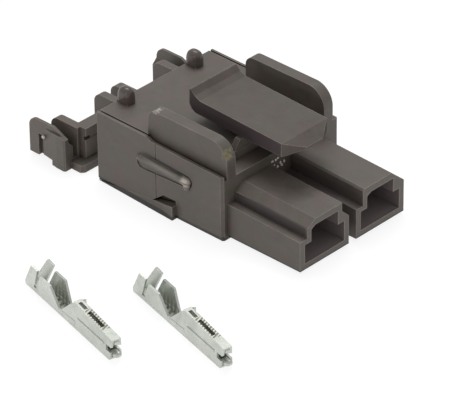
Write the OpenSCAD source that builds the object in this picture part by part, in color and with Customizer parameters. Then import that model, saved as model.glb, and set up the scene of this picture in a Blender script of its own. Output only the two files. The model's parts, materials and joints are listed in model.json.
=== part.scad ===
// Two-circuit crimp power connector: a socket housing with a rocker latch,
// a hinged rear retainer moulded in its open position, and two loose crimp contacts.
// Units are millimetres. The mating face looks along -Y and +Z is up. The origin is
// the centre of the underside of the main body, which rests on the plane Z = 0.
// Inside the modules of the mouldings, heights count from the underside of the sockets.

/* [Main body] */
// Distance between the two circuits
pitch = 7.5; // [6.8:0.1:9.2]
// Length of the main body, without the sockets
body_l = 15.9; // [13:0.1:20]
// Height of the main body
body_h = 7.1; // [6.6:0.1:9]
// How far the body reaches below the sockets
foot = 0.28; // [0.1:0.02:0.5]
// Wall thickness of the moulding
wall = 0.64; // [0.5:0.02:0.8]
// How much wider the body is than two pitches
side_extra = 0.5; // [0.3:0.1:1]
// Length of the full-height rear block, up to the start of the guards
block_l = 6.3; // [5:0.1:8]
// Depth of the step down to the ledges beside the guards
ledge_drop = 0.5; // [0.3:0.05:0.8]

/* [Sockets] */
// Gap between the two sockets
socket_gap = 0.98; // [0.8:0.02:1.4]
// Length of the sockets in front of the body
socket_l = 8.85; // [6:0.05:12]
// Height of the full-width lower part of a socket
socket_low_h = 3.12; // [2.7:0.02:3.4]
// Height of a socket at its tip
socket_h = 4.8; // [4.5:0.05:5.8]
// Width of the shoulder beside the raised part of a socket
shoulder = 0.93; // [0.7:0.01:1.3]
// Mould draft of the socket tops, in degrees
socket_draft = 2.1; // [0:0.1:3]

/* [Guards] */
// Thickness of a guard wall
guard_t = 1.17; // [0.9:0.05:1.4]
// Height of the guards above the body
guard_h = 2.48; // [2:0.05:3.2]
// Distance from the side of the body to the outer face of a guard
guard_inset = 0.65; // [0.5:0.05:0.9]
// Radius of the front top corner of a guard
guard_r = 2; // [1:0.1:2.3]

/* [Latch] */
// Width of the latch lever
lever_w = 6.12; // [5:0.02:7.4]
// Thickness of the latch lever
lever_t = 1.5; // [1.2:0.05:1.8]
// Height of the lever underside above the body
lever_rise = 0.93; // [0.8:0.01:1.3]
// Length of the lever behind its web, up to the thumb lip
lever_rear = 6.4; // [5:0.1:7.7]
// Length of the straight lever in front of its web
lever_front = 5.05; // [4:0.05:6.1]
// Length of the wedge-shaped nose
nose_l = 1.35; // [1:0.05:1.7]
// Height of the thumb lip above the lever
lip_h = 0.8; // [0.4:0.05:1.2]
// Tilt of the lever, nose down, in degrees
lever_tilt = 1.6; // [0:0.1:3]

/* [Rear retainer] */
// Distance from the body to the hinge line of the retainer
hinge_back = 1; // [0.9:0.05:1.3]
// Height of the retainer walls
retainer_h = 3.75; // [3:0.05:4.5]
// Thickness of the ears
ear_t = 0.85; // [0.6:0.05:1.1]
// Thickness of the fingers
finger_t = 0.85; // [0.6:0.05:1]

/* [Contacts] */
// Length of a crimp contact
contact_l = 15.1; // [12:0.1:18]
// Width of the contact box
contact_w = 1.3; // [1:0.05:2]
// Height of the contact box
contact_h = 2.85; // [2.4:0.05:3.4]
// Sheet thickness of the contact
sheet = 0.22; // [0.16:0.01:0.3]

/* [Hidden] */
$fn = 64;
eps = 0.01;
half_w = pitch + side_extra / 2;
y_rear = body_l / 2;
y_front = -body_l / 2;
y_tip = y_front - socket_l;
// guards and the ledges outside them
guard_x = half_w - guard_inset;
guard_in = guard_x - guard_t;
y_step = y_rear - block_l;
ledge_z = body_h - ledge_drop;
// sockets
socket_hw = (pitch - socket_gap) / 2;
top_hw = socket_hw - shoulder;
in_hw = socket_hw - wall;
// latch web, the hinge line of the lever
web_y = y_front + 2.15;
web_t = 0.6;
lever_z = body_h + lever_rise;
deck_z = body_h - 1;
run_gap = 0.1;
// round rib on the side, rising towards the rear
rib_y = y_front + 4.43;
rib_z = 4.31;
rib_l = 5.72;
rib_lean = 2.9;
// rear mouth that takes the wires and the retainer
mouth_hw = half_w - 0.4;
mouth_z = body_h - 0.6;
mouth_l = 3;
pocket_l = 4.6;
// retainer
hinge_y = y_rear + hinge_back;
hinge_z = 0.15 - foot;
flange_y = y_rear + 1.75;
cross_y = y_rear + 2.5;
finger_y = y_rear + 3.15;
finger_end = finger_y + body_h - 3.6;
ear_end = y_rear + 8.1;
ear_in = half_w + 0.1;
ear_out = ear_in + ear_t;
outer_f = mouth_hw - 0.1 - finger_t;
cross_hw = outer_f + finger_t - 0.42;
inner_f = 0.68;
plastic_c = [0.36, 0.34, 0.33];
latch_c = [0.38, 0.36, 0.35];
// contact lengths are laid out for a 15.1 mm contact
cs = contact_l / 15.1;
tin_c = [0.78, 0.77, 0.74];

// solid with a side profile of [y, z] points, from x0 to x1
module side_solid(x0, x1, pts) {
  translate([x0, 0, 0])
    rotate([90, 0, 90])
      linear_extrude(x1 - x0)
        polygon(pts);
}

// solid with a front profile of [x, z] points, from y1 back to y0
module front_solid(y0, y1, pts) {
  translate([0, y1, 0])
    rotate([90, 0, 0])
      linear_extrude(y1 - y0)
        polygon(pts);
}

module box(x0, x1, y0, y1, z0, z1) {
  translate([x0, y0, z0])
    cube([x1 - x0, y1 - y0, z1 - z0]);
}

module both_sides() {
  children();
  mirror([1, 0, 0])
    children();
}

// plate standing in the YZ plane with round top corners: rf at low y, rb at high y
module round_plate(x0, x1, y0, y1, z0, z1, rf, rb) {
  translate([x0, 0, 0])
    rotate([90, 0, 90])
      linear_extrude(x1 - x0)
        union() {
          difference() {
            translate([y0, z0])
              square([y1 - y0, z1 - z0]);
            translate([y0 - 1, z1 - rf])
              square([1 + rf, rf + 1]);
            translate([y1 - rb, z1 - rb])
              square([rb + 1, rb + 1]);
          }
          translate([y0 + rf, z1 - rf])
            circle(rf);
          translate([y1 - rb, z1 - rb])
            circle(rb);
        }
}

// outline of the left socket: chamfer on its outer top edge, step on the other side
function left_outline(s) = [
  [-socket_hw, -1],
  [-socket_hw, socket_low_h],
  [-top_hw, socket_low_h],
  [-top_hw, socket_h - 0.7],
  [-top_hw + 1.1, socket_h],
  [top_hw, socket_h],
  [top_hw, socket_h - 0.9],
  [socket_hw, socket_low_h - 0.1],
  [socket_hw, -1]
];

// outline of the right socket: the key is a long chamfer on the far side
function right_outline(s) = [
  [-socket_hw, -1],
  [-socket_hw, socket_low_h],
  [-top_hw, socket_low_h],
  [-top_hw, socket_h - 0.15],
  [-top_hw + 0.2, socket_h + 0.05],
  [socket_hw - 1.7, socket_h + 0.05],
  [socket_hw, socket_low_h + 0.25],
  [socket_hw, -1]
];

// opening of either socket
function inner_outline(s) = [
  [-in_hw, wall],
  [-in_hw, socket_low_h - 0.5],
  [-in_hw + 0.85, socket_low_h - 0.5],
  [-in_hw + 0.85, socket_h - wall - 0.3],
  [-in_hw + 1.4, socket_h - wall],
  [in_hw - 0.85, socket_h - wall],
  [in_hw - 0.85, socket_low_h - 0.4],
  [in_hw, socket_low_h - 0.4],
  [in_hw, wall]
];

// a socket tube whose top falls a little towards the body by the mould draft
module socket_tube(pts) {
  intersection() {
    translate([0, y_tip, 0])
      rotate([-socket_draft, 0, 0])
        front_solid(-1, socket_l + 1.5, pts);
    box(-socket_hw - 1, socket_hw + 1, y_tip, y_front + 0.5, 0, body_h);
  }
}

module main_block() {
  difference() {
    side_solid(-half_w, half_w, [
      [y_front, -foot],
      [y_rear, -foot],
      [y_rear, body_h],
      [y_front, body_h - 0.15]
    ]);
    // narrow foot along the sides
    both_sides()
      box(half_w - 0.1, half_w + 1, y_front - 1, y_rear + 1, -1, 0);
    // small cuts on the vertical front corners, wider on the left
    translate([-half_w, y_front, -1])
      rotate([0, 0, 45])
        cube([0.36, 0.36, body_h * 3], center = true);
    translate([half_w, y_front, -1])
      rotate([0, 0, 45])
        cube([0.12, 0.12, body_h * 3], center = true);
    // ledges outside the guards, with a raised lip along the edge
    both_sides() {
      side_solid(guard_x - eps, half_w + 1, [
        [y_step + 0.15, body_h + 1],
        [y_step + 0.15, body_h - 0.02],
        [y_step - 0.75, ledge_z + 0.12],
        [y_front - 1, ledge_z - 0.12],
        [y_front - 1, body_h + 1]
      ]);
      side_solid(guard_x - eps, guard_x + 0.36, [
        [y_step + 0.15, body_h + 1],
        [y_step + 0.1, body_h - 0.3],
        [y_step - 0.8, ledge_z - 0.35],
        [y_front - 1, ledge_z - 0.6],
        [y_front - 1, body_h + 1]
      ]);
      // groove along the top edge of the rear block
      box(guard_x + 0.2, guard_x + 0.4, y_step - 0.1, y_rear + 1, body_h - 0.25, body_h + 1);
      // parting line on the side
      box(half_w - 0.06, half_w + 1, y_step - 1.25, y_step - 1.15, -1, body_h + 1);
      // shallow recess around the side rib
      translate([half_w - 0.1, rib_y, rib_z])
        rotate([-rib_lean, 0, 0]) {
          box(0, 1, 0, rib_l, -0.66, 0.66);
          rotate([0, 90, 0])
            cylinder(r = 0.66, h = 1);
          translate([0, rib_l, 0])
            rotate([0, 90, 0])
              cylinder(r = 0.66, h = 1);
        }
      // pocket above the side catch
      side_solid(half_w - 0.8, half_w + 1, [
        [y_step - 0.7, 0.5],
        [y_step - 2.15, 1.6],
        [y_step - 3.7, 1.6],
        [y_step - 3.7, 0.5]
      ]);
    }
    // sunk front deck between the guards
    box(-guard_in, guard_in, y_front - 1, web_y - web_t / 2 - 0.05, deck_z, body_h + 1);
    // the right ledge is lower at its front end
    box(guard_x - eps, half_w + 1, y_front - 1, y_front + 1.3, deck_z - 0.05, body_h + 1);
  }
}

module guards() {
  both_sides()
    round_plate(guard_in, guard_x, y_front, y_step + 0.3, body_h - 1, body_h + guard_h, guard_r, 1);
}

// tapered web that carries the latch, at the rear edge of the sunk front deck
module latch_web() {
  front_solid(web_y - web_t / 2, web_y + web_t / 2, [
    [-lever_w / 2 - 0.95, deck_z - 0.5],
    [-lever_w / 2 - 0.95, body_h],
    [-lever_w / 2 - 0.35, lever_z - run_gap],
    [lever_w / 2 + 0.35, lever_z - run_gap],
    [lever_w / 2 + 0.95, body_h],
    [lever_w / 2 + 0.95, deck_z - 0.5]
  ]);
}

// finger grips at the rear edge, round towards the front
module nubs() {
  both_sides()
    intersection() {
      round_plate(4.02, 5.12, y_rear - 1.4, y_rear, body_h - 0.5, body_h + 1.55, 0.95, 0.4);
      // rounded across as well
      translate([4.57, 0, body_h])
        rotate([0, 0, 90])
          round_plate(2, y_rear, -0.55, 0.55, -0.5, 1.55, 0.32, 0.32);
    }
}

// round rib on each side with a short tail at its front
module side_ribs() {
  both_sides()
    translate([half_w - 0.02, rib_y, rib_z]) {
      rotate([-90 + rib_lean, 0, 0])
        cylinder(r = 0.5, h = rib_l);
      sphere(0.5);
      rotate([180, 0, 0])
        cylinder(r = 0.4, h = 0.55);
      translate([0, 0, -0.55])
        sphere(0.4);
      rotate([-90 + rib_lean, 0, 0])
        translate([0, 0, rib_l])
          sphere(0.5);
    }
}

// wedge-shaped catches low on the sides
module side_catches() {
  both_sides()
    intersection() {
      translate([0, 0, -1])
        linear_extrude(4)
          polygon([
            [half_w - 0.4, y_step - 0.6],
            [half_w - 0.1, y_step - 0.6],
            [half_w, y_step - 0.7],
            [half_w + 0.5, y_step - 3.7],
            [half_w - 0.4, y_step - 3.7]
          ]);
      side_solid(half_w - 1, half_w + 1, [
        [y_step, -foot],
        [y_step - 0.6, 0.5],
        [y_step - 3.7, 1.15],
        [y_step - 3.7, -foot]
      ]);
    }
}

// cavities that carry the contacts from the rear mouth to a socket
module circuit_cavity() {
  front_solid(y_tip - 1, y_front + 0.2, inner_outline(0));
  box(-1.5, 1.5, y_front - 1, y_rear - pocket_l + 1, wall, wall + 3);
  // lead-in of the channel
  front_solid(y_rear - pocket_l - 0.8, y_rear - pocket_l + 0.1, [
    [-2, wall],
    [2, wall],
    [2, wall + 3.5],
    [-2, wall + 3.5]
  ]);
}

module housing() {
  color(plastic_c)
    translate([0, 0, foot])
      difference() {
        union() {
          main_block();
          guards();
          latch_web();
          nubs();
          side_ribs();
          side_catches();
          translate([-pitch / 2, 0, 0])
            socket_tube(left_outline(0));
          translate([pitch / 2, 0, 0])
            socket_tube(right_outline(0));
          // hinge straps of the retainer
          both_sides()
            box(1.4, 5.2, y_rear - 0.2, hinge_y - 0.25, -foot, 0.3 - foot);
        }
        translate([-pitch / 2, 0, 0])
          circuit_cavity();
        translate([pitch / 2, 0, 0])
          circuit_cavity();
        // wire pockets and the common rear mouth
        both_sides()
          box(0.45, mouth_hw, y_rear - pocket_l, y_rear + 0.1, wall, mouth_z);
        box(-mouth_hw, mouth_hw, y_rear - mouth_l, y_rear + 0.1, wall, mouth_z);
      }
}

module latch_lever() {
  color(latch_c)
    translate([0, web_y, lever_z + foot])
      rotate([lever_tilt, 0, 0])
        difference() {
          intersection() {
            side_solid(-lever_w / 2, lever_w / 2, [
              [lever_rear - 0.85, 0],
              [lever_rear - 0.35, 0.22],
              [lever_rear, 0.75],
              [lever_rear, lever_t + lip_h],
              [lever_rear - 0.15, lever_t + lip_h],
              [lever_rear - 0.7, lever_t + lip_h * 0.36],
              [lever_rear - 1.35, lever_t],
              [-lever_front, lever_t - 0.1],
              [-lever_front - nose_l, lever_t - 0.75],
              [-lever_front - nose_l, lever_t - 0.95],
              [-lever_front - 0.1, 0]
            ]);
            // plan of the lever with its wedge-shaped nose
            translate([0, 0, -1])
              linear_extrude(lever_t + lip_h + 2)
                polygon([
                  [-lever_w / 2, lever_rear + 1],
                  [-lever_w / 2, -lever_front],
                  [-lever_w / 2 + 1.98, -lever_front - nose_l],
                  [lever_w / 2 - 1.98, -lever_front - nose_l],
                  [lever_w / 2, -lever_front],
                  [lever_w / 2, lever_rear + 1]
                ]);
          }
          // catch recess behind the nose
          box(-2.1, 2.1, -lever_front + 0.3, -2.9, -1, 0.6);
        }
}

// one ear: a plate with a thicker pad towards the hinge
module ear() {
  difference() {
    union() {
      round_plate(ear_in, ear_out, finger_y + 0.05, ear_end, 0, retainer_h + 0.1, 0.12, 1);
      box(ear_in, ear_out, finger_y + 0.05, finger_y + 1.7, -foot, 0.1);
      translate([0, 0, -foot])
        linear_extrude(retainer_h - 0.5 + foot)
          polygon([
            [ear_out - 0.1, finger_y + 0.05],
            [ear_out + 0.15, finger_y + 0.05],
            [ear_out + 0.28, finger_y + 0.25],
            [ear_out + 0.26, finger_y + 1.1],
            [ear_out - 0.02, finger_y + 3.05],
            [ear_out - 0.1, finger_y + 3.05]
          ]);
    }
    // sloped corner above the pad
    side_solid(ear_in - 1, ear_out + 1, [
      [finger_y - 1, retainer_h - 1.15],
      [finger_y + 0.4, retainer_h - 0.55],
      [finger_y + 1.75, retainer_h + 0.11],
      [finger_y + 1.75, retainer_h + 1],
      [finger_y - 1, retainer_h + 1]
    ]);
    // thin upper edge
    front_solid(finger_y - 1, ear_end + 1, [
      [ear_in - 1, retainer_h - 1.7],
      [ear_in + 0.01, retainer_h - 1.6],
      [ear_out - 0.3, retainer_h - 1.1],
      [ear_out - 0.22, retainer_h + 1],
      [ear_in - 1, retainer_h + 1]
    ]);
    // blind slot on the outer face and the low edge in front of it
    box(ear_out - 0.4, ear_out + 1, finger_y + 3.1, finger_y + 3.75, -1, 2.35);
    box(ear_in - 1, ear_out + 1, finger_y + 1.85, finger_y + 3.11, -1, 0.25);
  }
  // small moulding pip above the slot
  translate([ear_out - 0.02, finger_y + 2.92, 2.26])
    sphere(0.24, $fn = 32);
}

module rear_retainer() {
  color(plastic_c)
    translate([0, 0, foot])
      union() {
        both_sides() {
          ear();
          // outer and inner fingers of one circuit
          round_plate(outer_f, outer_f + finger_t, finger_y, finger_end, 0, retainer_h, 0.12, 0.9);
          round_plate(inner_f, inner_f + finger_t, finger_y, finger_end, 0, retainer_h, 0.12, 0.9);
          // floor that ties the ear to its finger
          box(outer_f, ear_in + 0.1, finger_y + 0.05, finger_y + 1.85, 0, 0.7);
          box(outer_f, ear_in + 0.1, finger_y + 1.8, finger_end, 0.25, 0.7);
          // hinge strap
          box(1.4, 5.2, hinge_y + 0.1, flange_y + 0.2, -foot, 0.3 - foot);
        }
        // front flange with cut corners
        translate([0, 0, -foot])
          linear_extrude(0.5 + foot)
            polygon([
              [-half_w - 0.35, flange_y + 0.3],
              [-half_w, flange_y],
              [half_w, flange_y],
              [half_w + 0.35, flange_y + 0.3],
              [half_w + 0.35, finger_y + 0.5],
              [-half_w - 0.35, finger_y + 0.5]
            ]);
        difference() {
          box(-cross_hw, cross_hw, cross_y, finger_y + 0.7, -foot, retainer_h);
          // notch at each end and a score line across the wall
          both_sides()
            side_solid(cross_hw - 0.65, cross_hw + 1, [
              [cross_y - 1, 2.5],
              [cross_y + 0.3, 2.5],
              [cross_y + 0.3, 2.9],
              [cross_y - 1, 2.9]
            ]);
          box(-cross_hw + 0.6, cross_hw - 0.6, cross_y - 1, cross_y + 0.06, 2.55, 2.65);
        }
      }
}

// upright sheet of the contact with a profile of [x, z] points, flared outwards
module contact_wall(y_out, flare, pts) {
  translate([0, y_out, 0])
    rotate([90 + flare, 0, 0])
      linear_extrude(sheet)
        polygon([for (p = pts) [p[0] * cs, p[1]]]);
}

// the same sheet on both sides of the contact
module contact_walls(half, flare, pts) {
  contact_wall(half, -flare, pts);
  mirror([0, 1, 0])
    contact_wall(half, -flare, pts);
}

// side profile of the contact box, across its width
module box_side(hw, pts) {
  translate([0, hw, 0])
    rotate([90, 0, 0])
      linear_extrude(2 * hw)
        polygon([for (p = pts) [p[0] * cs, p[1]]]);
}

// cross-section of the contact box, along its length
module box_section(pts) {
  translate([7.5 * cs, 0, 0])
    rotate([90, 0, 90])
      linear_extrude(9 * cs)
        polygon(pts);
}

// contact lying along +X, wire end at the origin
module contact() {
  hw = contact_w / 2;
  top = contact_h;
  // how far the folded-over side leans in at the top
  lean = 0.5;
  difference() {
    union() {
      // strip that carries every feature
      box(0, 14.5 * cs, -hw, hw, 0, sheet);
      // low edges of the strip
      contact_walls(hw, 3, [[0, 0], [8.6, 0], [8.6, 0.8], [6, 0.6], [1.9, 0.5], [0, 0.4]]);
      // insulation wings, swept towards the front
      contact_walls(hw, 6, [[0, 0], [1.35, 0], [2.7, top], [1.65, top + 0.1], [0, 0.4]]);
      // wire wings
      contact_walls(hw, 6, [[2, 0], [6.2, 0], [6, 0.6], [4.8, top - 0.4], [3.05, top - 0.4], [2.1, 0.5]]);
      // neck rising to the box
      contact_walls(hw, 0, [[6, 0], [8.6, 0], [8.6, top - 0.2], [8.1, top - 0.5], [6.2, 0.6]]);
      // receptacle box, lower towards its mouth
      difference() {
        intersection() {
          box_side(hw, [[8.4, 0], [14.5, 0], [15.1, top - 0.5], [8.6, top]]);
          box_section([[-hw, 0], [hw, 0], [hw - lean, top + 0.1], [-hw, top + 0.1]]);
        }
        intersection() {
          box_side(hw, [[8, sheet], [15.5, sheet], [15.5, top - 0.5 - sheet], [8, top + 0.05 - sheet]]);
          box_section([[sheet - hw, 0], [hw - sheet, 0], [hw - lean - sheet, top], [sheet - hw, top]]);
        }
        // mouth over the neck
        box(9 * cs, 10.1 * cs, sheet - hw, hw - lean - sheet, top / 2, top + 1);
        // lance window
        box(10.6 * cs, 13 * cs, sheet - hw, hw - lean - sheet, top / 2, top + 1);
      }
      // pressed-out ridge along the side
      box(9.2 * cs, 13.6 * cs, -hw - 0.07, -hw + 0.1, 1.15, 1.4);
    }
    // notch that parts the tines at the mouth
    box(14 * cs, 16 * cs, -hw - 1, hw + 1, 0.85, 1.45);
    // serrations in the wire barrel
    for (i = [0:2])
      box((3.3 + i * 0.8) * cs, (3.6 + i * 0.8) * cs, -hw + sheet, hw - sheet, sheet - 0.08, sheet + 0.1);
  }
}

module contact_1() {
  color(tin_c)
    translate([-23.96, 0.3, 0])
      rotate([0, 0, -104.3])
        contact();
}

module contact_2() {
  color(tin_c)
    translate([-18.36, -7.7, 0])
      rotate([0, 0, -104.3])
        contact();
}

housing();
latch_lever();
rear_retainer();
contact_1();
contact_2();
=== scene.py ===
import json
import math

import bmesh
import bpy
from mathutils import Matrix, Vector, noise


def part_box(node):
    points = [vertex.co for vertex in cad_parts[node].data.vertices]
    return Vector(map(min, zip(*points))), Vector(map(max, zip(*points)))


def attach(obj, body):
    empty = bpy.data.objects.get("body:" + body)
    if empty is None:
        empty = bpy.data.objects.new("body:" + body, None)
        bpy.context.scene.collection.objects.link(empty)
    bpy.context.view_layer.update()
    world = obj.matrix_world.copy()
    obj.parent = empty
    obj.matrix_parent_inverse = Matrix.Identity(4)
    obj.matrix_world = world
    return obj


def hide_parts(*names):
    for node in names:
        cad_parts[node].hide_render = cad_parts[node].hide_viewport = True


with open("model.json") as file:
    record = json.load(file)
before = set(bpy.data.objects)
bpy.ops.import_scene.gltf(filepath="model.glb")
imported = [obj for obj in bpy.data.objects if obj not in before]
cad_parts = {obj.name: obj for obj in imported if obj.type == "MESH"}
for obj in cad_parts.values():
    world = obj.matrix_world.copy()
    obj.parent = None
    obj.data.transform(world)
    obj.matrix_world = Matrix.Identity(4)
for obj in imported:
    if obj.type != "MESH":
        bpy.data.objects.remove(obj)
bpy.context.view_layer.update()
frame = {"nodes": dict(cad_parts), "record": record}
scene = bpy.context.scene
nodes = frame["nodes"]

# Places and sizes are in millimetres, in the frame of the CAD. MM turns them into metres.
MM = 0.001
SIDES = {-1: "left", 1: "right"}


# ---------------------------------------------------------------- places, worked out from the frame
def box_in_mm(node):
    """Lowest and highest corner of a CAD node."""
    low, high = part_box(node)
    return low / MM, high / MM


housing_low, housing_high = box_in_mm("housing")
retainer_low, retainer_high = box_in_mm("rear_retainer")
# faces of the body: the catches stand 0.5 out of its sides, and the hinge straps 0.75 out of its rear
SIDE_X = housing_high.x - 0.5
REAR_Y = housing_high.y - 0.75
FRONT_Y = -REAR_Y
# tips of the sockets, top of the guards, and the middle of the right circuit
TIP_Y = housing_low.y
GUARD_TOP = housing_high.z
CIRCUIT_X = max(mount["pos_m"][0] for mount in frame["record"]["mounts"]) / MM
# round rib on each side: its front end, its height there and its rise towards the rear in degrees
RIB_Y = FRONT_Y + 4.43
RIB_Z = 4.59
RIB_LEAN = 2.9
# front faces of the side catches, and where their slant meets the side face
CATCH_Y = REAR_Y - 9.98
SLANT_Y = REAR_Y - 6.9
# finger grips at the rear edge
NUB_X = 4.57
NUB_Z = 7.75
# front face of the cross wall of the retainer, and the pip on its left ear
CROSS_WALL_Y = retainer_low.y + 1.4
PIP_CENTRE = (retainer_low.x + 0.05, retainer_high.y - 2.08, 2.66)
# a contact is laid out along X from its wire end, then turned and moved to its place on the floor
CONTACT_TURN = math.radians(-104.3)
CORNER_TO_WIRE_END = Vector((-0.6704, -0.1709))


def wire_end(contact):
    """Middle of a contact's wire end, on the floor, from the high corner of its box."""
    high = box_in_mm(contact)[1]
    return (high.xy + CORNER_TO_WIRE_END).to_3d()


# ---------------------------------------------------------------- node trees
class Tree:
    """Writes the node tree of a material or of the world, from the coordinates to the output."""

    def __init__(self, owner, output="OutputMaterial"):
        owner.use_nodes = True
        self.owner = owner
        self.tree = owner.node_tree
        self.tree.nodes.clear()
        self.surface = self.add(output).inputs["Surface"]

    def add(self, kind, **settings):
        node = self.tree.nodes.new("ShaderNode" + kind)
        for setting, value in settings.items():
            setattr(node, setting, value)
        return node

    def put(self, socket, value):
        """Links a socket to another node's output, or gives it a fixed value."""
        if isinstance(value, bpy.types.NodeSocket):
            self.tree.links.new(value, socket)
        else:
            socket.default_value = value

    def fill(self, node, inputs):
        """Puts values or links into a node's inputs, by name."""
        for name, value in inputs.items():
            self.put(node.inputs[name], value)
        return node

    def calc(self, operation, a, b=0.0, clamp=False):
        node = self.add("Math", operation=operation, use_clamp=clamp)
        self.put(node.inputs[0], a)
        self.put(node.inputs[1], b)
        return node.outputs[0]

    def remap(self, value, from_low, from_high, to_low, to_high):
        node = self.add("MapRange", clamp=True)
        for socket, given in zip(node.inputs, (value, from_low, from_high, to_low, to_high)):
            self.put(socket, given)
        return node.outputs[0]

    def mix(self, share, under, over):
        """The under colour, covered by the over colour as far as the share says."""
        node = self.add("Mix", data_type="RGBA")
        # the node has a socket of each name for every type of value, so the colours go by number
        for index, given in ((0, share), (6, under), (7, over)):
            self.put(node.inputs[index], given)
        return node.outputs[2]

    def mapped(self, place, vector_type="POINT", **inputs):
        node = self.add("Mapping", vector_type=vector_type)
        self.fill(node, {"Vector": place, **inputs})
        return node.outputs["Vector"]

    def noise(self, place, scale, detail, roughness, distortion=0.0):
        node = self.add("TexNoise")
        self.fill(node, {
            "Vector": place,
            "Scale": scale,
            "Detail": detail,
            "Roughness": roughness,
            "Distortion": distortion,
        })
        return node.outputs["Fac"]

    def rounded(self, radius):
        """The surface normal, rounded over the radius at each edge."""
        node = self.add("Bevel", samples=5)
        node.inputs["Radius"].default_value = radius * MM
        return node.outputs[0]

    def edge_share(self, reach):
        """1 along a sharp edge and 0 further from it than the reach."""
        turned = self.add("VectorMath", operation="DOT_PRODUCT")
        self.put(turned.inputs[0], self.rounded(reach))
        self.put(turned.inputs[1], self.add("NewGeometry").outputs["Normal"])
        return self.remap(turned.outputs["Value"], 0.995, 0.88, 0.0, 1.0)

    def open_to_air(self, distance):
        """1 on open faces and outer edges, 0 in inner corners and seams."""
        node = self.add("AmbientOcclusion", samples=4, only_local=True)
        node.inputs["Distance"].default_value = distance * MM
        return self.remap(node.outputs["AO"], 0.5, 0.85, 0.0, 1.0)

    def zone(self, place, ranges, fade):
        """1 inside a box and 0 outside it. The ranges are the box's x, y and z, and the fade is how sharp
        its edge is."""
        parts = self.add("SeparateXYZ")
        self.put(parts.inputs[0], place)
        shares = []
        for (low, high), coordinate in zip(ranges, parts.outputs):
            away = self.calc("SUBTRACT", coordinate, (low + high) / 2 * MM)
            shares.append(self.calc("DIVIDE", self.calc("ABSOLUTE", away), (high - low) / 2 * MM))
        farthest = self.calc("MAXIMUM", self.calc("MAXIMUM", shares[0], shares[1]), shares[2])
        return self.remap(farthest, *fade, 1.0, 0.0)

    def bump(self, height, strength, depth, normal):
        node = self.add("Bump")
        self.fill(node, {"Height": height, "Strength": strength, "Distance": depth * MM, "Normal": normal})
        return node.outputs[0]

    def principled(self, inputs):
        """Ends the tree in a Principled shader with these inputs."""
        shader = self.fill(self.add("BsdfPrincipled"), inputs)
        self.put(self.surface, shader.outputs[0])


def surface_tree(name):
    """A new material's tree and the coordinates of the object it covers."""
    tree = Tree(bpy.data.materials.new(name))
    return tree, tree.add("TexCoord").outputs["Object"]


# ---------------------------------------------------------------- moulded nylon
# noise patterns: cells in a metre, detail, roughness and distortion
GRAIN = (9000, 3, 0.6)
MOTTLE = (420, 5, 0.62, 0.6)
CLOUD = (120, 3, 0.5, 1.2)
HUE = (700, 2, 0.5, 0.4)
FLOW = (1500, 4, 0.6, 0.3)
SPECKS = (2600, 3, 0.6)
# radius of the mould's edges, how far from them the painted highlight and the lower roughness reach,
# and how far the painted shade reaches out of a corner
NYLON_ROUNDING = 0.06
NYLON_EDGE_REACH = 0.13
CORNER_SHADE_REACH = 0.28
# where the edge of a mark starts and ends, as shares of the way out from its middle
SHARP = (0.95, 1.05)
SOFT = (0.3, 1.0)


def tinted(tone, levels):
    """A tone times one level, or a level for each of its colours, as a colour with alpha."""
    if not isinstance(levels, tuple):
        levels = (levels,) * 3
    return [part * level for part, level in zip(tone, levels)] + [1]


def along_rib(tree, place):
    """Coordinates that run along a side rib: Y from its front end, Z from its axis."""
    return tree.mapped(
        place,
        "TEXTURE",
        Location=(0, RIB_Y * MM, RIB_Z * MM),
        Rotation=(math.radians(RIB_LEAN), 0, 0),
    )


def painted(tree, colour, place, marks, fade=SHARP, spots=1.0):
    """The colour with marks over it, each (ranges, colour, strength). They can be broken up into spots."""
    for ranges, paint, strength in marks:
        cover = tree.calc("MULTIPLY", tree.zone(place, ranges, fade), strength)
        colour = tree.mix(tree.calc("MULTIPLY", cover, spots), colour, (*paint, 1))
    return colour


def layered(tree, colour, tone, layers):
    """The colour with layers over it: each has a pattern, where it starts and is full, how far it covers,
    and its tint."""
    for pattern, start, full, cover, tint in layers:
        colour = tree.mix(tree.remap(pattern, start, full, 0, cover), colour, tinted(tone, tint))
    return colour


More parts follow.
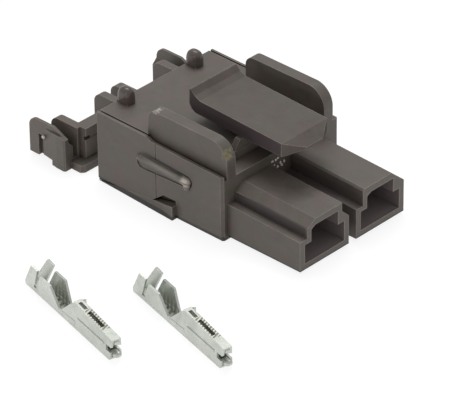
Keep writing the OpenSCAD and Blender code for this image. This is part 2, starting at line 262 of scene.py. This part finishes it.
def nylon(name, tone, seed, gloss=0.0, marks=(), highlight_spots=(), polished=(), rib_light_and_shade=(), flanks=False):
    """Glass-filled nylon: mould grain, flow marks and clouds of hue, with a painted highlight along outer
    edges and painted shade in inner corners. The marks are as painted() takes them, and polished is a list
    of ranges. With flanks, faces to the left get painted shade and those to the right lose their sheen."""
    tree, place = surface_tree(name)
    base = tree.mapped(place, Location=(seed, seed * 0.7, seed * 1.3))
    grain, mottle, cloud, hue = (tree.noise(base, *pattern) for pattern in (GRAIN, MOTTLE, CLOUD, HUE))
    flow = tree.noise(tree.mapped(base, Scale=(1.0, 0.12, 1.0)), *FLOW)
    at_edge = tree.edge_share(NYLON_EDGE_REACH)
    clear = tree.open_to_air(CORNER_SHADE_REACH)

    colour = layered(tree, tinted(tone, 0.78), tone, [
        (mottle, 0.30, 0.70, 1.00, 1.28),
        (cloud, 0.35, 0.70, 0.35, (1.25, 1.18, 1.05)),
        (hue, 0.52, 0.66, 0.50, (1.20, 0.96, 1.02)),
        (hue, 0.48, 0.34, 0.50, (0.93, 1.08, 0.95)),
        (flow, 0.45, 0.75, 0.25, 1.28),
        (grain, 0.35, 0.75, 0.22, 1.60),
    ])
    inputs = {"IOR": 1.5}
    if flanks:
        # painted shade on faces turned to the left, and no sheen on faces turned to the right
        facing = tree.add("SeparateXYZ")
        tree.put(facing.inputs[0], tree.add("NewGeometry").outputs["True Normal"])
        left_shade = tree.remap(facing.outputs["X"], -0.6, -0.9, 0.0, 0.75)
        colour = tree.mix(left_shade, colour, tinted(tone, (0.72, 0.60, 0.82)))
        inputs["Specular IOR Level"] = tree.remap(facing.outputs["X"], 0.3, 0.5, 0.3, 0.0)
    # painted highlight along outer edges, broken up by the mottle, and painted shade in inner corners and
    # seams
    edge_highlight = tree.calc("MULTIPLY", at_edge, tree.remap(mottle, 0.3, 0.65, 0.35, 1.0))
    colour = tree.mix(tree.calc("MULTIPLY", edge_highlight, clear), colour, tinted(tone, 3.4))
    colour = tree.mix(tree.remap(clear, 0.0, 1.0, 0.6, 0.0), colour, tinted(tone, 0.22))

    colour = painted(tree, colour, place, marks)
    # painted highlights, broken up into spots
    if highlight_spots:
        spots = tree.remap(tree.noise(base, *SPECKS), 0.42, 0.58, 0.0, 1.0)
        colour = painted(tree, colour, place, highlight_spots, spots=spots)
    # painted shade and highlights, measured along the ribs
    if rib_light_and_shade:
        colour = painted(tree, colour, along_rib(tree, place), rib_light_and_shade, SOFT)

    rough = tree.remap(mottle, 0.25, 0.75, 0.40 - gloss, 0.56 - gloss)
    rough = tree.calc("ADD", rough, tree.remap(grain, 0.3, 0.7, -0.05, 0.06))
    for ranges in polished:
        sheen = tree.calc("MULTIPLY", tree.zone(place, ranges, SHARP), 0.24)
        rough = tree.calc("SUBTRACT", rough, sheen)
    rough = tree.calc("SUBTRACT", rough, tree.calc("MULTIPLY", at_edge, 0.12), clamp=True)
    height = tree.calc("ADD", tree.calc("MULTIPLY", grain, 0.5), tree.calc("MULTIPLY", mottle, 0.6))
    height = tree.calc("ADD", height, tree.calc("MULTIPLY", flow, 0.35))
    normal = tree.bump(height, 0.35, 0.03, tree.rounded(NYLON_ROUNDING))
    tree.principled({"Base Color": colour, "Roughness": rough, "Normal": normal, **inputs})
    return tree.owner


def on_both_sides(mark):
    """A mark given for the right side, and the same one mirrored to the left."""
    (low, high), *rest = mark[0]
    return [((span, *rest), *mark[1:]) for span in ((-high, -low), (low, high))]


# painted shade along the foot of the body and the sockets, as a dark line
FOOT_SHADE = (((-20, 20), (-40, 40), (-0.40, 0.40)), (0.028, 0.024, 0.023), 0.95)
# painted light inside the sockets, which makes them paler there: half width, bottom and top of each stretch
SOCKET_INNER_LIGHT = [
    (
        ((side * CIRCUIT_X - half_w, side * CIRCUIT_X + half_w), (TIP_Y + 0.06, FRONT_Y - 0.03), heights),
        (0.265, 0.225, 0.225),
        0.9,
    )
    for side in SIDES
    for half_w, heights in ((2.66, (0.86, 3.00)), (1.84, (2.99, 4.51)))
]
# painted shade on left flanks: the raised part of the left socket and the whole side of the right one
FLANK_Y = (TIP_Y + 0.10, FRONT_Y - 0.05)
SOCKET_FLANK_SHADE = [
    (((-6.18, -5.98), FLANK_Y, (3.46, 4.66)), (0.050, 0.042, 0.042), 0.8),
    (((0.43, 1.47), FLANK_Y, (1.70, 5.50)), (0.072, 0.058, 0.062), 0.5),
]
# painted highlights on the left guard: a pale one on its top and a yellowish one on its front corner
GUARD_HIGHLIGHTS = [
    (((-7.35, -6.15), (0.7, 1.3), (GUARD_TOP - 0.21, GUARD_TOP + 0.19)), (0.50, 0.47, 0.40), 0.9),
    (((-7.1, -6.1), (FRONT_Y - 0.15, FRONT_Y + 0.65), (8.3, 9.2)), (0.30, 0.26, 0.13), 0.8),
]
# painted shade at the roots and on the lower flank of a rib, and painted highlights on its crest and front
# end, measured along it
RIB_ROOT = (SIDE_X - 0.07, SIDE_X + 0.13)
RIB_CREST = (SIDE_X + 0.12, SIDE_X + 0.68)
RIB_END = (SIDE_X - 0.05, SIDE_X + 0.85)
RIB_LIGHT_AND_SHADE = [
    ((RIB_ROOT, (-0.7, 6.1), (0.40, 0.72)), (0.018, 0.015, 0.016), 0.95),
    ((RIB_ROOT, (-0.6, 5.8), (-0.65, -0.39)), (0.030, 0.025, 0.025), 0.9),
    ((RIB_CREST, (-0.4, 6.0), (-0.50, -0.10)), (0.050, 0.043, 0.040), 0.9),
    ((RIB_CREST, (-0.5, 6.1), (0.02, 0.38)), (0.310, 0.275, 0.240), 0.9),
    ((RIB_END, (-0.6, 0.6), (0.00, 0.48)), (0.750, 0.660, 0.600), 0.9),
    ((RIB_END, (-0.5, 0.4), (-0.46, 0.02)), (0.620, 0.480, 0.440), 0.9),
    ((RIB_CREST, (-0.5, 0.3), (-0.92, -0.32)), (0.240, 0.200, 0.180), 0.7),
]
RIB_POLISH = [
    (span, (RIB_Y - 0.83, RIB_Y + 6.57), (3.2, 5.8))
    for span in ((-SIDE_X - 1.05, -SIDE_X - 0.05), (SIDE_X + 0.05, SIDE_X + 1.05))
]
# painted light on the front face of the cross wall of the retainer, which makes it pale
CROSS_WALL_LIGHT = (((-9, 9), (CROSS_WALL_Y - 0.06, CROSS_WALL_Y + 0.06), (0.9, 4.3)), (0.34, 0.30, 0.26), 0.9)


# ---------------------------------------------------------------- tin plate
# noise patterns, as for the nylon
ROLLING_LINES = (9000, 4, 0.7)
DULL_SPOTS = (900, 5, 0.6, 0.8)
TIN_CLOUD = (260, 3, 0.5, 0.5)
# radius of the tin's edges, and how far the painted highlight reaches from an edge
TIN_ROUNDING = 0.04
TIN_EDGE_REACH = 0.06
# crimp serrations, and the spring seen through the window, as stripes of painted shade: x, y and z in the
# contact's own layout, the pitch of the stripes, how far they slant, and their dark colour
SERRATIONS = [
    (((2.8, 6.2), (-0.56, 0.56), (0.0, 1.8)), 0.62, 0.8, (0.42, 0.42, 0.37, 1)),
    (((10.2, 13.4), (-0.57, 0.67), (1.75, 2.85)), 0.36, 0.5, (0.22, 0.21, 0.15, 1)),
]


def tin(name, contact, seed):
    """Tin over stamped strip: rolling lines along the strip, dull spots, stripes of painted shade and a
    painted highlight along the edges.
    """
    tree, place = surface_tree(name)
    along = tree.mapped(place, "TEXTURE", Location=wire_end(contact) * MM, Rotation=(0, 0, CONTACT_TURN))
    base = tree.mapped(along, Location=(seed, seed * 0.6, 0))
    lines = tree.noise(tree.mapped(base, Scale=(0.06, 1.0, 1.0)), *ROLLING_LINES)
    spots = tree.noise(base, *DULL_SPOTS)
    cloud = tree.noise(base, *TIN_CLOUD)

    colour = tree.mix(tree.remap(cloud, 0.35, 0.65, 0, 1), (0.57, 0.605, 0.55, 1), (0.68, 0.705, 0.65, 1))
    colour = tree.mix(tree.remap(spots, 0.5, 0.75, 0, 0.35), colour, (0.42, 0.43, 0.38, 1))
    # painted highlight along the edges
    tin_edge_highlight = tree.calc("MULTIPLY", tree.edge_share(TIN_EDGE_REACH), 0.6)
    colour = tree.mix(tin_edge_highlight, colour, (0.93, 0.93, 0.91, 1))
    parts = tree.add("SeparateXYZ")
    tree.put(parts.inputs[0], along)
    # stripes of painted shade for the serrations and for the spring
    for ranges, pitch, slant, dark in SERRATIONS:
        phase = tree.calc("ADD", parts.outputs["X"], tree.calc("MULTIPLY", parts.outputs["Y"], slant))
        wave = tree.calc("SINE", tree.calc("MULTIPLY", phase, 2 * math.pi / (pitch * MM)))
        teeth = tree.remap(wave, -0.5, 0.2, 0.0, 1.0)
        colour = tree.mix(tree.calc("MULTIPLY", teeth, tree.zone(along, ranges, SHARP)), colour, dark)

    rough = tree.remap(spots, 0.35, 0.75, 0.24, 0.46)
    rough = tree.calc("ADD", rough, tree.remap(lines, 0.3, 0.7, -0.04, 0.06))
    height = tree.calc("ADD", tree.calc("MULTIPLY", lines, 0.6), tree.calc("MULTIPLY", spots, 0.8))
    normal = tree.bump(height, 0.4, 0.02, tree.rounded(TIN_ROUNDING))
    tree.principled({"Base Color": colour, "Metallic": 0.55, "Roughness": rough, "Normal": normal})
    return tree.owner


LOOKS = {
    "housing": nylon(
        "housing_nylon",
        (0.118, 0.101, 0.087),
        seed=0.0,
        marks=[FOOT_SHADE, *SOCKET_INNER_LIGHT, *SOCKET_FLANK_SHADE],
        highlight_spots=GUARD_HIGHLIGHTS,
        polished=RIB_POLISH,
        rib_light_and_shade=[copy for mark in RIB_LIGHT_AND_SHADE for copy in on_both_sides(mark)],
    ),
    "latch_lever": nylon("latch_nylon", (0.112, 0.097, 0.086), seed=0.31, flanks=True),
    "rear_retainer": nylon("retainer_nylon", (0.126, 0.108, 0.093), seed=0.57, marks=[CROSS_WALL_LIGHT]),
    "contact_1": tin("contact_tin_1", "contact_1", seed=0.11),
    "contact_2": tin("contact_tin_2", "contact_2", seed=0.43),
}
NUB_LOOK = nylon("nub_nylon", (0.11, 0.086, 0.078), seed=0.77, gloss=0.26)
# pale nylon for the gate scar, and for the pip on the ear, where it is a painted highlight
PALE_LOOK = nylon("pale_nylon", (0.48, 0.43, 0.41), seed=0.83, gloss=0.26)
for name, look in LOOKS.items():
    mesh = nodes[name].data
    mesh.materials.clear()
    mesh.materials.append(look)


# ---------------------------------------------------------------- forms that the plain moulding lacks
# where the socket tops end at the body: how far from the middle, and their heights
SOCKET_REACH = 7.2
SOCKET_TOPS = (2.5, 5.6)
# from a fall of 2.1 degrees towards the body to the same rise
DRAFT_RISE = 2 * (FRONT_Y - TIP_Y) * math.tan(math.radians(2.1))
# the plain nubs: foot, middle and reach to each side, and how they shrink into the rounded ones
NUB_FOOT = 7.42
NUB_MIDDLE = Vector((NUB_X, REAR_Y - 0.7, NUB_Z + 0.15))
NUB_REACH = (0.7, 0.75)
NUB_SHRINK = 0.72
# the length and heights of the ribs, and how they become slimmer
RIB_LENGTH = (RIB_Y - 0.43, RIB_Y + 6.32)
RIB_HEIGHTS = (4.0, 5.6)
RIB_SLIM = 0.8
# lumps of a bead: how close together, and how far the next bead's pattern is shifted
LUMP_SCALE = 2.3
LUMP_SHIFT = 5


def new_piece(name, data):
    """A new object in the scene, made of a mesh, lamp or camera."""
    piece = bpy.data.objects.new(name, data)
    scene.collection.objects.link(piece)
    return piece


def drafted_housing():
    """The housing with socket tops that rise towards the body, slim ribs and room for rounded nubs."""
    piece = new_piece("housing_moulding", nodes["housing"].data.copy())
    for vertex in piece.data.vertices:
        x, y, z = vertex.co / MM
        at_body = abs(y - FRONT_Y) < 0.02 and abs(x) < SOCKET_REACH
        near_nub = abs(abs(x) - NUB_X) < NUB_REACH[0] and abs(y - NUB_MIDDLE.y) < NUB_REACH[1]
        beside_rib = abs(x) > SIDE_X + 0.01 and RIB_LENGTH[0] < y < RIB_LENGTH[1]
        if at_body and SOCKET_TOPS[0] < z < SOCKET_TOPS[1]:
            vertex.co.z += DRAFT_RISE * MM
        elif near_nub and z > NUB_FOOT:
            middle = Vector((math.copysign(NUB_MIDDLE.x, x), *NUB_MIDDLE.yz)) * MM
            vertex.co = middle + (vertex.co - middle) * NUB_SHRINK
        elif beside_rib and RIB_HEIGHTS[0] < z < RIB_HEIGHTS[1]:
            axis = RIB_Z + math.tan(math.radians(RIB_LEAN)) * (y - RIB_Y)
            vertex.co.z = (axis + (z - axis) * RIB_SLIM) * MM
    piece.data.update()
    return piece


def swell(name, beads, look, power=2.0, lumps=0.0):
    """One piece made of closed rounded beads, each with a centre and half sizes. The power squares them
    off, and the lumps make them uneven, each bead in its own way."""
    mesh_tool = bmesh.new()
    for centre, half in beads:
        ball = bmesh.ops.create_icosphere(mesh_tool, subdivisions=4, radius=1.0)
        for vertex in ball["verts"]:
            way = vertex.co.normalized()
            reach = sum(abs(part) ** power for part in way) ** (-1 / power)
            reach *= 1 + lumps * noise.noise(way * LUMP_SCALE + Vector(centre) * LUMP_SHIFT)
            vertex.co = Vector([(c + w * reach * h) * MM for c, w, h in zip(centre, way, half)])
    for face in mesh_tool.faces:
        face.smooth = True
    mesh = bpy.data.meshes.new(name)
    mesh_tool.to_mesh(mesh)
    mesh_tool.free()
    mesh.materials.append(look)
    return new_piece(name, mesh)


def flare(side, name):
    """Thin wedge that leaves the side face along a slant and widens from the rear corner to the catch."""
    sunk = -0.05
    flush = 0.005
    # y, z and how far each corner stands out: from the foot at the rear to the top of the slant
    outline = [
        (REAR_Y - 0.05, 0.0, flush),
        (CATCH_Y, 0.0, 0.52),
        (CATCH_Y, 1.2, 0.50),
        (SLANT_Y, 0.8, flush),
    ]
    inner = [(side * (SIDE_X + sunk), y, z) for y, z, out in outline]
    outer = [(side * (SIDE_X + out), y, z) for y, z, out in outline]
    faces = [(4, 5, 7), (5, 6, 7), (0, 1, 5, 4), (5, 1, 2, 6), (7, 6, 2, 3), (0, 3, 2, 1), (0, 4, 7, 3)]
    if side > 0:
        faces = [face[::-1] for face in faces]
    mesh = bpy.data.meshes.new(name)
    mesh.from_pydata([Vector(corner) * MM for corner in inner + outer], [], faces)
    # the first two faces are the outer one: its shading runs from the side face to the slant
    flat = Vector((side, 0, 0))
    slanted = Vector((side, -0.05, -0.3)).normalized()
    normals = []
    for face in mesh.polygons:
        for corner in face.vertices:
            smooth = flat if corner in (4, 7) else slanted
            normals.append(smooth if face.index < 2 else face.normal.copy())
    mesh.shade_smooth()
    mesh.normals_split_custom_set(normals)
    mesh.materials.append(LOOKS["housing"])
    return new_piece(name, mesh)


# torn ring left where the gate was broken off, in the slot between the sockets: x, z and half sizes
GATE = [
    (-1.12, 5.60, (0.16, 0.08, 0.09)),
    (-0.67, 5.57, (0.10, 0.09, 0.11)),
    (-0.42, 5.66, (0.11, 0.10, 0.09)),
    (-0.42, 4.76, (0.12, 0.11, 0.12)),
    (-0.06, 5.02, (0.09, 0.09, 0.16)),
    (0.10, 4.74, (0.10, 0.12, 0.16)),
    (0.46, 4.95, (0.11, 0.08, 0.14)),
    (-0.86, 5.10, (0.09, 0.06, 0.08)),
]
moulding = drafted_housing()
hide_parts("housing")
parts = [moulding]
for side, word in SIDES.items():
    parts.append(flare(side, "side_flare_" + word))
gate_beads = [((x, FRONT_Y - 0.02, z), half) for x, z, half in GATE]
parts.append(swell("gate_scar", gate_beads, PALE_LOOK, lumps=0.5))
for side, word in SIDES.items():
    nub = ((side * NUB_X, REAR_Y - 0.75, NUB_Z), (0.63, 0.84, 1.18))
    parts.append(swell("nub_" + word, [nub], NUB_LOOK, power=2.8))
for part in parts:
    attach(part, "body")
# rounded ends of the upper and lower tine in the mouth of each contact
TINES = [((14.5, 0.02, 1.85), (0.55, 0.42, 0.36)), ((14.6, 0.02, 0.52), (0.55, 0.44, 0.28))]
for name in ("contact_1", "contact_2"):
    tines = swell(name + "_tines", TINES, LOOKS[name], power=2.6)
    turn = Matrix.Rotation(CONTACT_TURN, 4, "Z")
    tines.data.transform(Matrix.Translation(wire_end(name) * MM) @ turn)
    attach(tines, "body")
# the pip is a painted highlight: a pale bead for a bright spot on the ear
pip = swell("ear_pip", [(PIP_CENTRE, (0.13, 0.17, 0.17))], PALE_LOOK, lumps=0.3)
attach(pip, "retainer")


# ---------------------------------------------------------------- floor, world, lamps and camera
FLOOR_SIZE = 3000
# just under the object, so that the two do not share a plane
FLOOR_Z = -0.02
LAMP_DISTANCE = 800
# the lamps look at this point inside the body
LAMP_AIM = Vector((0, 0, 4))
# grey of the floor as the object's light meets it, and grey and glow of the floor as the camera sees it
PLAIN_GREY = 0.86
SEEN_GREY = 0.28
SEEN_GLOW = 0.84
# light of the world on the object, and how much of its white a reflection sees
WORLD_LIGHT = 0.46
WORLD_SHINE = 0.22


def floor_material():
    """Plain pale floor for the light on the object. The camera and reflections see it nearly white, with
    the object's shadow on it."""
    tree = Tree(bpy.data.materials.new("pale_floor"))
    plain = tree.fill(tree.add("BsdfDiffuse"), {"Color": (PLAIN_GREY, PLAIN_GREY, PLAIN_GREY, 1)})
    pale = tree.fill(tree.add("BsdfDiffuse"), {"Color": (SEEN_GREY, SEEN_GREY, SEEN_GREY, 1)})
    glow = tree.fill(tree.add("Emission"), {"Color": (1, 1, 1, 1), "Strength": SEEN_GLOW})
    lit = tree.add("AddShader")
    tree.put(lit.inputs[0], pale.outputs[0])
    tree.put(lit.inputs[1], glow.outputs[0])
    rays = tree.add("LightPath").outputs
    seen = tree.calc("MAXIMUM", rays["Is Camera Ray"], rays["Is Glossy Ray"])
    seen = tree.calc("MAXIMUM", seen, rays["Is Transmission Ray"])
    choice = tree.add("MixShader")
    for socket, given in zip(choice.inputs, (seen, plain.outputs[0], lit.outputs[0])):
        tree.put(socket, given)
    tree.put(tree.surface, choice.outputs[0])
    return tree.owner


def studio_world():
    """White to the camera, darker in a reflection, and a soft light on the object."""
    world = bpy.data.worlds.new("studio")
    tree = Tree(world, "OutputWorld")
    rays = tree.add("LightPath").outputs
    reflected = tree.calc("MULTIPLY", rays["Is Glossy Ray"], WORLD_SHINE)
    seen = tree.calc("MAXIMUM", rays["Is Camera Ray"], reflected)
    level = tree.remap(seen, 0.0, 1.0, WORLD_LIGHT, 1.0)
    sky = tree.fill(tree.add("Background"), {"Color": (1, 1, 1, 1), "Strength": level})
    tree.put(tree.surface, sky.outputs[0])
    return world


def direction(azimuth, elevation):
    """Unit vector from the object to a viewer: azimuth 0 is the front, and both angles are in degrees."""
    around, up = math.radians(azimuth), math.radians(elevation)
    return Vector((math.sin(around) * math.cos(up), -math.cos(around) * math.cos(up), math.sin(up)))


def lamp(name, azimuth, elevation, size, power):
    """A soft round lamp that looks at the object. Its size is in metres and its power in watts."""
    data = bpy.data.lights.new(name, "AREA")
    data.shape = "DISK"
    data.size = size
    data.energy = power
    back = direction(azimuth, elevation)
    piece = new_piece(name, data)
    piece.location = (LAMP_AIM + back * LAMP_DISTANCE) * MM
    piece.rotation_mode = "QUATERNION"
    piece.rotation_quaternion = (-back).to_track_quat("-Z", "Y")


def camera(azimuth, elevation, roll, lens, shift, aim, distance):
    """A camera that looks at the aim from this angle and distance, turned by the roll in degrees."""
    data = bpy.data.cameras.new("camera")
    data.sensor_width = 36
    data.lens = lens
    data.shift_x, data.shift_y = shift
    data.clip_start, data.clip_end = 0.01, 10
    back = direction(azimuth, elevation)
    right = Vector((math.cos(math.radians(azimuth)), math.sin(math.radians(azimuth)), 0))
    up = back.cross(right)
    cos, sin = math.cos(math.radians(roll)), math.sin(math.radians(roll))
    place = Matrix((right * cos + up * sin, up * cos - right * sin, back)).transposed().to_4x4()
    place.translation = (Vector(aim) + back * distance) * MM
    piece = new_piece("camera", data)
    piece.matrix_world = place
    return piece


bpy.ops.mesh.primitive_plane_add(size=FLOOR_SIZE * MM, location=(0, 0, FLOOR_Z * MM))
floor = bpy.context.object
floor.name = "floor"
floor.data.materials.append(floor_material())
scene.world = studio_world()
lamp("key", 134, 66, size=0.50, power=2.4)
lamp("low_left", -90, 14, size=0.12, power=0.32)
scene.camera = camera(
    azimuth=-46.271,
    elevation=32.409,
    roll=-0.697,
    lens=344.03,
    shift=(0.00078, 0.00193),
    aim=(-4.0, -4.65, 1.28),
    distance=394.317,
)
scene.view_settings.view_transform = "Standard"
